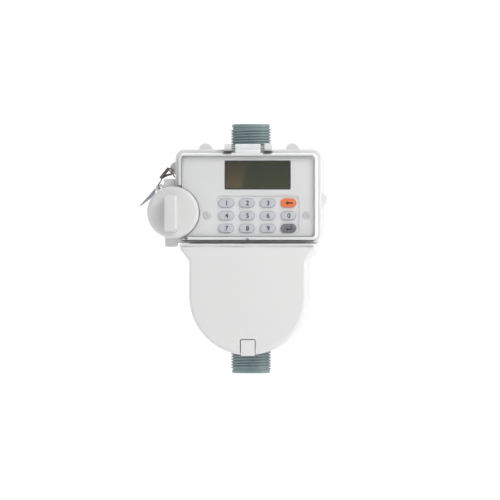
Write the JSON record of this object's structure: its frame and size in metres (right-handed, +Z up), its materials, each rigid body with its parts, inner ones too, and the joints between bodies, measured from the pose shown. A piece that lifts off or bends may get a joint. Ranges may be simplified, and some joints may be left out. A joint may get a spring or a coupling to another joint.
{
  "type": "prepaid water meter",
  "caption": "Prepaid water meter with keypad, display, clear flip cover, register lid, round battery cap and threaded pipe ends above and below.",
  "frame": {"origin": "centre of the inlet's end face, on the pipe axis", "axes": "+Z up along the pipe axis towards the outlet; -Y is the front with the keypad; +X is to the right seen from the front"},
  "size_m": [0.1234, 0.079, 0.165],
  "materials": {
    "grey_nylon": "satin moulded",
    "acetal": "satin",
    "blue_plastic": "satin",
    "steel": "turned",
    "black_rubber": "matt",
    "dark_nylon": "satin",
    "white_abs": "satin gloss moulded",
    "dial_card": "printed matt",
    "magnet": "plain",
    "red_plastic": "gloss",
    "register_glass": "clear",
    "ptfe": "waxy",
    "brass": "turned",
    "motor_can": "drawn",
    "face_abs": "satin moulded",
    "clear_cover": "clear moulded polycarbonate",
    "circuit_board": "solder resist",
    "lcd_frame": "satin",
    "lcd_lens": "polished, olive display behind",
    "grey_silicone": "matt",
    "screw_steel": "zinc plated",
    "battery_wrap": "shrink film",
    "seal_wire": "twisted, dulled",
    "seal_tag": "thin flag",
    "key_pale": "satin silicone",
    "key_orange": "satin silicone",
    "key_grey": "satin silicone"
  },
  "bodies": {
    "meter_body": {"flow_body": "grey_nylon", "inlet_strainer": "acetal", "impeller_shaft": "steel", "chamber_seal": "black_rubber", "chamber_cover": "grey_nylon", "locking_ring": "dark_nylon", "register_housing": "white_abs", "register_dial": "dial_card", "register_glass": "register_glass", "lower_seat": "ptfe", "upper_seat": "ptfe", "valve_retainer": "grey_nylon", "stem_seal": "black_rubber", "valve_motor": "motor_can", "gearbox_base": "dark_nylon", "gearbox_cover": "dark_nylon", "back_cover": "white_abs", "lower_case": "white_abs", "lid_hinge_pin": "steel", "electronics_case": "white_abs", "case_gasket": "black_rubber", "front_face": "face_abs", "cover_hinge_pin": "steel", "circuit_board": "circuit_board", "lcd_module": "lcd_frame", "lcd_lens": "lcd_lens", "keypad_mat": "grey_silicone", "face_screw_left": "screw_steel", "face_screw_right": "screw_steel", "battery_tube": "white_abs", "battery": "battery_wrap", "battery_spring": "steel", "seal_wire": "seal_wire", "seal_tag": "seal_tag"},
    "impeller": {"impeller": "blue_plastic"},
    "follower_magnet": {"follower_magnet": "magnet"},
    "flow_star": {"flow_star": "red_plastic"},
    "litre_pointer": {"litre_pointer": "red_plastic"},
    "valve": {"valve_ball": "steel", "valve_stem": "brass", "stem_gear": "acetal"},
    "idler_gear": {"idler_gear": "acetal"},
    "motor_pinion": {"motor_pinion": "brass"},
    "lower_lid": {"lower_lid": "white_abs"},
    "lid_latch": {"lid_latch": "white_abs"},
    "flip_cover": {"flip_cover": "clear_cover"},
    "battery_cap_seal": {"battery_cap_seal": "black_rubber"},
    "battery_cap": {"battery_cap": "white_abs"},
    "key_1": {"key_1": "key_pale"},
    "key_2": {"key_2": "key_pale"},
    "key_3": {"key_3": "key_pale"},
    "key_back": {"key_back": "key_orange"},
    "key_4": {"key_4": "key_pale"},
    "key_5": {"key_5": "key_pale"},
    "key_6": {"key_6": "key_pale"},
    "key_0": {"key_0": "key_pale"},
    "key_7": {"key_7": "key_pale"},
    "key_8": {"key_8": "key_pale"},
    "key_9": {"key_9": "key_pale"},
    "key_enter": {"key_enter": "key_grey"}
  },
  "joints": [
    {"name": "impeller_spin", "type": "hinge", "parent": "meter_body", "child": "impeller", "pos_m": [0, 0, 0.05], "axis": [0, -1, 0], "continuous": true},
    {"name": "magnet_spin", "type": "hinge", "parent": "meter_body", "child": "follower_magnet", "pos_m": [0, 0, 0.05], "axis": [0, -1, 0], "continuous": true},
    {"name": "star_spin", "type": "hinge", "parent": "meter_body", "child": "flow_star", "pos_m": [0.009, 0, 0.05], "axis": [0, -1, 0], "continuous": true},
    {"name": "pointer_spin", "type": "hinge", "parent": "meter_body", "child": "litre_pointer", "pos_m": [-0.006, 0, 0.042], "axis": [0, -1, 0], "continuous": true},
    {"name": "valve_turn", "type": "hinge", "parent": "meter_body", "child": "valve", "pos_m": [0, 0, 0.112], "axis": [0, -1, 0], "range_deg": [0, 90]},
    {"name": "idler_turn", "type": "hinge", "parent": "meter_body", "child": "idler_gear", "pos_m": [0.0184, 0, 0.112], "axis": [0, -1, 0], "continuous": true},
    {"name": "pinion_turn", "type": "hinge", "parent": "meter_body", "child": "motor_pinion", "pos_m": [0.0288, 0, 0.112], "axis": [0, -1, 0], "continuous": true},
    {"name": "lid_hinge", "type": "hinge", "parent": "meter_body", "child": "lower_lid", "pos_m": [0, -0.0395, 0.0832], "axis": [-1, 0, 0], "range_deg": [0, 90]},
    {"name": "latch_flex", "type": "hinge", "parent": "meter_body", "child": "lid_latch", "pos_m": [0, -0.0305, 0.0137], "axis": [1, 0, 0], "range_deg": [0, 8], "stiffness_Nm_per_rad": 0.05},
    {"name": "cover_hinge", "type": "hinge", "parent": "meter_body", "child": "flip_cover", "pos_m": [0, -0.0385, 0.1493], "axis": [-1, 0, 0], "range_deg": [0, 120]},
    {"name": "cap_lift", "type": "slide", "parent": "meter_body", "child": "battery_cap_seal", "axis": [0, -1, 0], "range_m": [0, 0.00625]},
    {"name": "cap_turn", "type": "hinge", "parent": "battery_cap_seal", "child": "battery_cap", "pos_m": [-0.0491, 0, 0.1063], "axis": [0, -1, 0], "continuous": true},
    {"name": "key_1_press", "type": "slide", "parent": "meter_body", "child": "key_1", "axis": [0, 1, 0], "range_m": [0, 0.001], "stiffness_N_per_m": 300},
    {"name": "key_2_press", "type": "slide", "parent": "meter_body", "child": "key_2", "axis": [0, 1, 0], "range_m": [0, 0.001], "stiffness_N_per_m": 300},
    {"name": "key_3_press", "type": "slide", "parent": "meter_body", "child": "key_3", "axis": [0, 1, 0], "range_m": [0, 0.001], "stiffness_N_per_m": 300},
    {"name": "key_back_press", "type": "slide", "parent": "meter_body", "child": "key_back", "axis": [0, 1, 0], "range_m": [0, 0.001], "stiffness_N_per_m": 300},
    {"name": "key_4_press", "type": "slide", "parent": "meter_body", "child": "key_4", "axis": [0, 1, 0], "range_m": [0, 0.001], "stiffness_N_per_m": 300},
    {"name": "key_5_press", "type": "slide", "parent": "meter_body", "child": "key_5", "axis": [0, 1, 0], "range_m": [0, 0.001], "stiffness_N_per_m": 300},
    {"name": "key_6_press", "type": "slide", "parent": "meter_body", "child": "key_6", "axis": [0, 1, 0], "range_m": [0, 0.001], "stiffness_N_per_m": 300},
    {"name": "key_0_press", "type": "slide", "parent": "meter_body", "child": "key_0", "axis": [0, 1, 0], "range_m": [0, 0.001], "stiffness_N_per_m": 300},
    {"name": "key_7_press", "type": "slide", "parent": "meter_body", "child": "key_7", "axis": [0, 1, 0], "range_m": [0, 0.001], "stiffness_N_per_m": 300},
    {"name": "key_8_press", "type": "slide", "parent": "meter_body", "child": "key_8", "axis": [0, 1, 0], "range_m": [0, 0.001], "stiffness_N_per_m": 300},
    {"name": "key_9_press", "type": "slide", "parent": "meter_body", "child": "key_9", "axis": [0, 1, 0], "range_m": [0, 0.001], "stiffness_N_per_m": 300},
    {"name": "key_enter_press", "type": "slide", "parent": "meter_body", "child": "key_enter", "axis": [0, 1, 0], "range_m": [0, 0.001], "stiffness_N_per_m": 300}
  ],
  "couplings": [
    {"joint": "magnet_spin", "follows": "impeller_spin", "ratio": 1},
    {"joint": "star_spin", "follows": "impeller_spin", "ratio": 0.25},
    {"joint": "pointer_spin", "follows": "impeller_spin", "ratio": 0.02},
    {"joint": "idler_turn", "follows": "valve_turn", "ratio": -1.875},
    {"joint": "pinion_turn", "follows": "valve_turn", "ratio": 3},
    {"joint": "cap_turn", "follows": "cap_lift", "rad_per_m": 2513.3}
  ]
}
